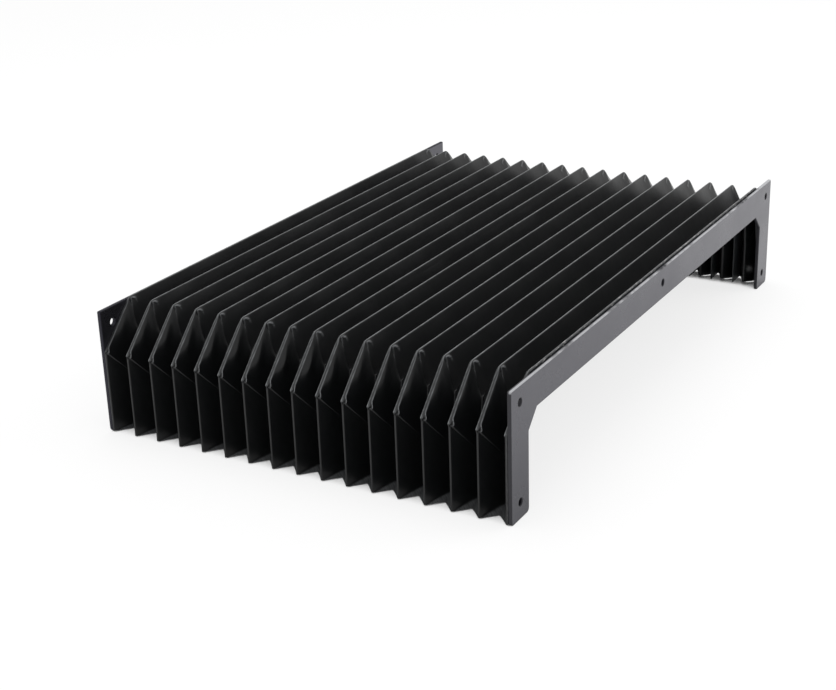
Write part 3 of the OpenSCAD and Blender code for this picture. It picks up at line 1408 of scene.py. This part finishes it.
@dataclass(frozen=True)
class SoftBox:
    """A square studio lamp: where it stands, in metres, how wide it is and its power in watts."""

    name: str
    place: tuple[float, float, float]
    width: float
    power: float

    def build(self, aim: Vector) -> bpy.types.Object:
        """Makes the lamp and turns it towards a point.

        Args:
            aim: The point that it lights.

        Returns:
            The lamp.
        """
        light = bpy.data.lights.new(self.name, "AREA")
        light.size = self.width
        light.energy = self.power
        lamp = bpy.data.objects.new(self.name, light)
        lamp.location = self.place
        lamp.visible_glossy = False
        lamp.rotation_euler = (aim - lamp.location).to_track_quat("-Z", "Y").to_euler()
        bpy.context.scene.collection.objects.link(lamp)
        return lamp


@dataclass
class Studio:
    """A pale floor in a white room with soft lamps."""

    floor_width: float = 24.0
    floor_colour: str = "#fbfbfb"
    white: str = "#ffffff"
    room_light: float = 0.85
    floor_show: float = 0.78
    floor_mirrored: float = 0.05
    room_mirrored: float = 0.2
    contact: float = 0.04
    contact_samples: int = 8
    contact_shares: tuple[float, float] = (0.2, 0.45)
    lamps: tuple[SoftBox, ...] = (
        SoftBox("overhead", (-0.2, 0.2, 1.7), 1.6, 10.0),
        SoftBox("far_right", (1.3, 1.1, 1.1), 1.0, 8.0),
    )

    @staticmethod
    def seen(tree: bpy.types.NodeTree, shown: float, mirrored: float) -> bpy.types.NodeSocket:
        """Tells what is looked at or mirrored from what only lights the object.

        Args:
            tree: The node tree to add to.
            shown: Share for camera and transmission rays.
            mirrored: Share for glossy rays.

        Returns:
            A socket with the share, which is 0 for other rays.
        """
        path = add_node(tree, "ShaderNodeLightPath").outputs
        direct = add_node(
            tree,
            "ShaderNodeMath",
            {0: path["Is Camera Ray"], 1: path["Is Transmission Ray"]},
            operation="MAXIMUM",
        ).outputs[0]
        share = add_node(tree, "ShaderNodeMath", {0: direct, 1: shown}, operation="MULTIPLY").outputs[0]
        whole = add_node(
            tree,
            "ShaderNodeMath",
            {0: path["Is Glossy Ray"], 1: mirrored, 2: share},
            operation="MULTIPLY_ADD",
        )
        return whole.outputs[0]

    def world(self) -> None:
        """White where the room is seen or mirrored, and dimmer as a light."""
        world = bpy.data.worlds.new("white_room")
        world.use_nodes = True
        tree = world.node_tree
        tree.nodes.clear()
        strength = add_node(
            tree,
            "ShaderNodeMapRange",
            {"Value": self.seen(tree, 1.0, self.room_mirrored), "To Min": self.room_light, "To Max": 1.0},
        ).outputs["Result"]
        room = add_node(tree, "ShaderNodeBackground", {"Color": linear(self.white), "Strength": strength})
        add_node(tree, "ShaderNodeOutputWorld", {"Surface": room.outputs["Background"]})
        bpy.context.scene.world = world

    def floor(self) -> None:
        """A matt floor at the height of the plates' feet, which keeps a light shadow."""
        half = self.floor_width / 2
        level = CAD_BOX[0].z
        data = bpy.data.meshes.new("floor")
        corners = [(-half, -half, level), (half, -half, level), (half, half, level), (-half, half, level)]
        data.from_pydata(corners, [], [(0, 1, 2, 3)])
        floor = bpy.data.objects.new("floor", data)
        bpy.context.scene.collection.objects.link(floor)
        material, tree = new_material("matt_white_paper")
        near = add_node(
            tree, "ShaderNodeAmbientOcclusion", {"Distance": self.contact}, samples=self.contact_samples
        ).outputs["AO"]
        shut, clear = self.contact_shares
        free = add_node(
            tree, "ShaderNodeMapRange", {"Value": near, "From Min": shut, "From Max": clear}
        ).outputs["Result"]
        shown = self.seen(tree, self.floor_show, self.floor_mirrored)
        share = add_node(tree, "ShaderNodeMath", {0: shown, 1: free}, operation="MULTIPLY").outputs[0]
        paper = add_node(tree, "ShaderNodeBsdfDiffuse", {"Color": linear(self.floor_colour)})
        glow = add_node(tree, "ShaderNodeEmission", {"Color": linear(self.white), "Strength": 1.0})
        mix = add_node(
            tree, "ShaderNodeMixShader", {0: share, 1: paper.outputs["BSDF"], 2: glow.outputs["Emission"]}
        )
        add_node(tree, "ShaderNodeOutputMaterial", {"Surface": mix.outputs["Shader"]})
        data.materials.append(material)

    def build(self) -> None:
        """Sets up the room, the floor and the lamps."""
        self.world()
        self.floor()
        aim = (CAD_BOX[0] + CAD_BOX[1]) / 2
        for lamp in self.lamps:
            lamp.build(aim)
        bpy.context.scene.view_settings.view_transform = "Standard"


@dataclass(frozen=True)
class PhotoCamera:
    """The camera at the photograph's viewing angle. Distances in millimetres from the rear plate's foot."""

    azimuth_deg: float = 30.315
    elevation_deg: float = 22.125
    roll_deg: float = -1.901
    distance: float = 1453.84
    right: float = 107.13
    up: float = -25.08
    focal_px: float = 1584.49
    sensor_mm: float = 36.0

    def build(self) -> bpy.types.Object:
        """Makes the scene's camera.

        Returns:
            The camera.
        """
        azimuth, elevation, roll = (
            math.radians(a) for a in (self.azimuth_deg, self.elevation_deg, self.roll_deg)
        )
        back = Vector(
            (
                math.sin(azimuth) * math.cos(elevation),
                -math.cos(azimuth) * math.cos(elevation),
                math.sin(elevation),
            )
        )
        level = Vector((math.cos(azimuth), math.sin(azimuth), 0.0))
        upright = back.cross(level)
        right = math.cos(roll) * level + math.sin(roll) * upright
        up = back.cross(right)
        foot = Vector((CAD_BOX[0].x, 0.0, CAD_BOX[0].z))
        place = foot + (self.right * right + self.up * up + self.distance * back) * MM
        data = bpy.data.cameras.new("photo_camera")
        data.sensor_width = self.sensor_mm
        data.lens = self.focal_px * self.sensor_mm / IMAGE_WIDTH
        camera = bpy.data.objects.new("photo_camera", data)
        turn = Matrix((right, up, back)).transposed().to_4x4()
        camera.matrix_world = Matrix.Translation(place) @ turn
        bpy.context.scene.collection.objects.link(camera)
        bpy.context.scene.camera = camera
        return camera


def main() -> None:
    """Builds the cover's looks, the studio and the camera."""
    logging.basicConfig(level=logging.INFO, format="%(message)s")
    plan = CoverPlan.from_frame()
    PhotoCamera().build()
    Studio().build()
    columns = ClothColumns(plan)
    cloth = PleatedCloth(plan, columns, CrestForm(columns), ClothRelief(columns))
    coated = CoatedCloth().material()
    for piece in cloth.build(coated) + EndFlaps(plan, columns).build(coated):
        log.info("%s: %d faces", piece.name, len(piece.data.polygons))
    EndPlates().dress(PowderCoat().material(), CUT_EDGE.material(), WornAndHighlitEdge().material())
    Stiffeners().dress(PlasticSheet().material())


if __name__ == "__main__":
    main()
